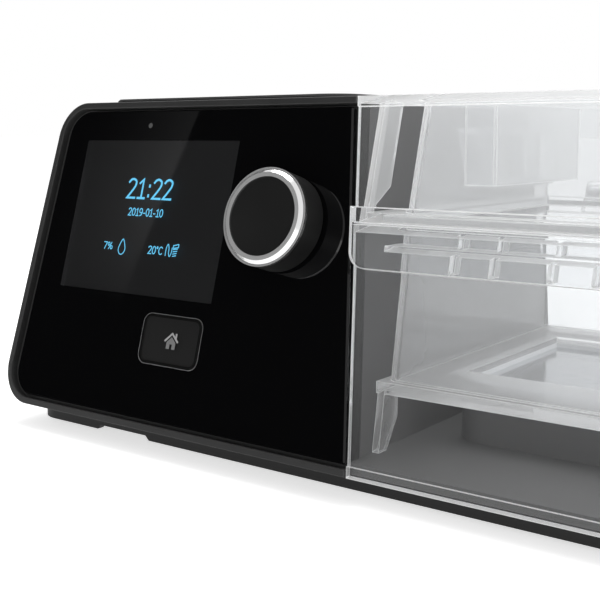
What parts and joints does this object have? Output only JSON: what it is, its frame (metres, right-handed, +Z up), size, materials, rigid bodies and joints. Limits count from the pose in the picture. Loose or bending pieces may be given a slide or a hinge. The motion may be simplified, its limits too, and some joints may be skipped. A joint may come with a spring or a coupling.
{
  "type": "cpap machine",
  "caption": "Bedside breathing-therapy blower with a leaning gloss control panel, screen, push knob and home button, and a clear slide-out water chamber with a hinged lid.",
  "frame": {"origin": "on the table, below the middle of the case", "axes": "+Z up, -Y towards the user (the control panel looks to -Y and up), +X to the user's right, where the water chamber sits"},
  "size_m": [0.2648, 0.165, 0.114],
  "materials": {
    "matt_black": "fine satin texture",
    "gloss_black": "polished",
    "bay_grey": "fine satin texture",
    "clear_plastic": "polished",
    "smoked_window": "polished",
    "display_glass": "polished",
    "bright_trim": "satin chrome",
    "steel": "brushed",
    "heater_metal": "satin",
    "motor_metal": "satin",
    "black_rubber": "matt",
    "silicone": "matt",
    "housing_grey": "fine satin texture",
    "wheel_white": "satin",
    "board_green": "satin",
    "filter_white": "felt",
    "foam_grey": "open cell",
    "encoder_black": "satin"
  },
  "bodies": {
    "machine": {"front_bezel": "matt_black", "front_panel": "gloss_black", "screen_window": "smoked_window", "display_module": "display_glass", "light_sensor": "display_glass", "control_board": "board_green", "board_screws": "steel", "encoder_body": "encoder_black", "button_switch": "encoder_black", "top_cover": "matt_black", "top_panel": "matt_black", "lower_case": "matt_black", "rubber_feet": "black_rubber", "bay_liner": "bay_grey", "heater_plate": "heater_metal", "blower_port_seal": "silicone", "outlet_port_seal": "silicone", "outlet_port": "matt_black", "outlet_duct": "housing_grey", "blower_duct": "housing_grey", "blower_lower": "housing_grey", "blower_upper": "housing_grey", "blower_motor": "motor_metal", "blower_mounts": "silicone", "filter_tray": "housing_grey", "inlet_filter": "filter_white", "muffler_foam": "foam_grey", "main_board": "board_green", "dc_inlet": "encoder_black", "card_socket": "steel"},
    "encoder_sleeve": {"encoder_rotor": "steel"},
    "control_knob": {"knob": "matt_black", "knob_ring": "bright_trim", "knob_shaft": "steel"},
    "home_key": {"home_button": "gloss_black"},
    "blower_wheel": {"impeller": "wheel_white"},
    "intake_cap": {"filter_cap": "matt_black"},
    "card_flap": {"card_cover": "black_rubber"},
    "water_chamber": {"chamber_tub": "clear_plastic", "chamber_plate": "steel", "plate_seal": "silicone", "hinge_pins": "steel"},
    "chamber_cover": {"chamber_lid": "clear_plastic", "lid_gasket": "silicone"}
  },
  "joints": [
    {"name": "knob_turn", "type": "hinge", "parent": "machine", "child": "encoder_sleeve", "pos_m": [-0.0203, -0.05283, 0.07431], "axis": [0, -0.9613, 0.2756], "continuous": true},
    {"name": "knob_press", "type": "slide", "parent": "encoder_sleeve", "child": "control_knob", "axis": [0, 0.9613, -0.2756], "range_m": [0, 0.001], "stiffness_N_per_m": 1500, "springref_m": -0.0005},
    {"name": "home_press", "type": "slide", "parent": "machine", "child": "home_key", "axis": [0, 0.9613, -0.2756], "range_m": [0, 0.0008], "stiffness_N_per_m": 1200, "springref_m": -0.0004},
    {"name": "wheel_spin", "type": "hinge", "parent": "machine", "child": "blower_wheel", "pos_m": [-0.08, 0.002, 0.05], "axis": [0, 0, 1], "continuous": true},
    {"name": "cap_pull", "type": "slide", "parent": "machine", "child": "intake_cap", "axis": [0, 1, 0], "range_m": [0, 0.03]},
    {"name": "card_flap_swing", "type": "hinge", "parent": "machine", "child": "card_flap", "pos_m": [-0.13178, 0.027, 0.072], "axis": [0, 0, -1], "range_deg": [0, 100]},
    {"name": "chamber_slide", "type": "slide", "parent": "machine", "child": "water_chamber", "axis": [0, -1, 0], "range_m": [0, 0.19]},
    {"name": "lid_swing", "type": "hinge", "parent": "water_chamber", "child": "chamber_cover", "pos_m": [0.069, 0.071, 0.0796], "axis": [-1, 0, 0], "range_deg": [0, 95]}
  ]
}
